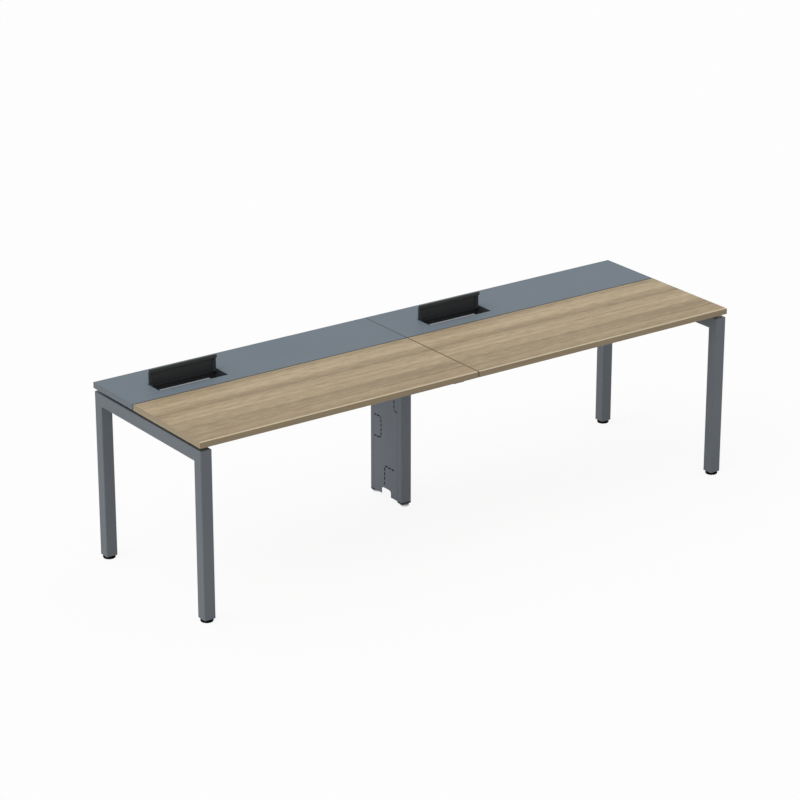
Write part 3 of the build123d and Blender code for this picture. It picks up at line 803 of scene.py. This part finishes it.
def makeGlide(name, footHeight, collarTop, finish, slot):
    low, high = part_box(name)
    centre = Vector(((low.x + high.x) / 2, (low.y + high.y) / 2, 0))
    radius = (high.x - low.x) / 2
    profile = glideProfile(radius, high.z, footHeight, collarTop)
    foot = meshObject(f"{name}Foot", turned(profile, centre, glide["segments"]))
    foot.data.materials.append(finishes[finish])
    foot.data.shade_smooth()
    foot.data.set_sharp_from_angle(angle=math.radians(glide["creaseAngle"]))
    threadStart = centre + Vector((0, 0, collarTop + glide["pitch"] / 2))
    source = pointMesh(f"{name}Start", [(threadStart, Vector((0, 0, 1)))])
    ridge = runTree(f"{name}Thread", source, threads, {
        "Root radius": glide["stemRoot"], "Pitch": glide["pitch"],
        "Turns": (high.z - collarTop) / glide["pitch"] - 1,
        "Steps per turn": glide["stepsPerTurn"], "Ridge": glide["ridge"],
        "Ridge sides": glide["ridgeSides"], "Finish": finishes["zinc"]})
    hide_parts(name)
    for piece in (foot, ridge):
        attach(piece, name)  # each glide's body has the glide's name


for side in sides:
    for end in ends:
        makeGlide(f"{end}_glide_{side}", **legGlide)
for end in ends:
    makeGlide(f"riser_{end}_glide", **riserGlide)
print("glides done")


# camera, light and floor

view = {
    "focalPixels": 3047.6,  # focal length, in pixels of a frame this wide
    "framePixels": 800,
    "sensor": 36.0,
    "clipEnd": 200,
    "place": (-6.8415, -9.4301, 4.9987),
    "yaw": 35.55,  # to the right of +Y
    "pitch": 21.09,  # down from level
}
cameraData = bpy.data.cameras.new("camera")
cameraData.sensor_width = view["sensor"]
cameraData.lens = view["focalPixels"] / view["framePixels"] * view["sensor"]
cameraData.clip_end = view["clipEnd"]
camera = bpy.data.objects.new("camera", cameraData)
camera.location = view["place"]
camera.rotation_euler = (math.radians(90 - view["pitch"]), 0, math.radians(-view["yaw"]))
bpy.context.scene.collection.objects.link(camera)
bpy.context.scene.camera = camera

light = {
    "skyLevel": 0.61,
    "skyLean": 0.25,  # how much more comes from the back (+Y) than from the front
    # suns: width, tilt from overhead and turn about Z, in degrees
    "key": {"level": 1.0, "width": 50, "tilt": 33, "turn": -92},
    "low": {"level": 0.42, "width": 30, "tilt": 80, "turn": -92},
}
world = bpy.data.worlds.new("studio")
bpy.context.scene.world = world
world.use_nodes = True
tree = world.node_tree
sky = tree.nodes["Background"]
sky.inputs["Color"].default_value = grey(1)
paths = addNode(tree, "ShaderNodeLightPath")
ways = addNode(tree, "ShaderNodeTexCoord")
wayParts = addNode(tree, "ShaderNodeSeparateXYZ")
tree.links.new(ways.outputs["Generated"], wayParts.inputs[0])
lean = light["skyLevel"] * light["skyLean"]
leaning = addMath(tree, "MULTIPLY_ADD", wayParts.outputs["Y"], lean, light["skyLevel"])
# plain white where it is seen, in gloss and through glass too
seen = paths.outputs["Is Camera Ray"]
for kind in ("Glossy", "Transmission"):
    seen = addMath(tree, "ADD", seen, paths.outputs[f"Is {kind} Ray"], clamp=True)
level = addNode(tree, "ShaderNodeMapRange", {"To Max": 1.0})
tree.links.new(leaning, level.inputs["To Min"])
tree.links.new(seen, level.inputs["Value"])
tree.links.new(level.outputs["Result"], sky.inputs["Strength"])

for name in ("key", "low"):
    sun = light[name]
    lamp = bpy.data.lights.new(name, "SUN")
    lamp.energy = sun["level"]
    lamp.angle = math.radians(sun["width"])
    lampObject = bpy.data.objects.new(name, lamp)
    lampObject.rotation_euler = (math.radians(sun["tilt"]), 0, math.radians(sun["turn"]))
    bpy.context.scene.collection.objects.link(lampObject)

floor = {
    "half": 60.0,  # from its middle to an edge
    "albedo": 0.95,
    "roughness": 0.9,
    "specular": 0.0,
    "ownWhite": 0.9,  # share of its own light in what the camera sees
    "glow": 0.62,  # the same in what it sends to the object
}
half = floor["half"]
corners = [(-half, -half, 0), (half, -half, 0), (half, half, 0), (-half, half, 0)]
floorMesh = bpy.data.meshes.new("floor")
floorMesh.from_pydata(corners, [], [(0, 1, 2, 3)])
floorObject = meshObject("floor", floorMesh)
floorFinish, tree, shader = newFinish("floorPaper", floor["roughness"], floor["specular"])
floorFinish.cycles.emission_sampling = "NONE"  # its even glow reaches the object by bounces alone
shader.inputs["Base Color"].default_value = grey(floor["albedo"])
white = addNode(tree, "ShaderNodeEmission", {"Color": grey(1), "Strength": 1.0})
paths = addNode(tree, "ShaderNodeLightPath")
seenShare = addMath(tree, "MULTIPLY", paths.outputs["Is Camera Ray"], floor["ownWhite"])
share = addMath(tree, "MULTIPLY_ADD", paths.outputs["Is Diffuse Ray"], floor["glow"], seenShare)
mix = addNode(tree, "ShaderNodeMixShader")
tree.links.new(share, mix.inputs[0])
tree.links.new(shader.outputs["BSDF"], mix.inputs[1])
tree.links.new(white.outputs["Emission"], mix.inputs[2])
tree.links.new(mix.outputs[0], tree.nodes["Material Output"].inputs["Surface"])
floorMesh.materials.append(floorFinish)

bpy.context.scene.view_settings.view_transform = "Standard"
print("stage done")
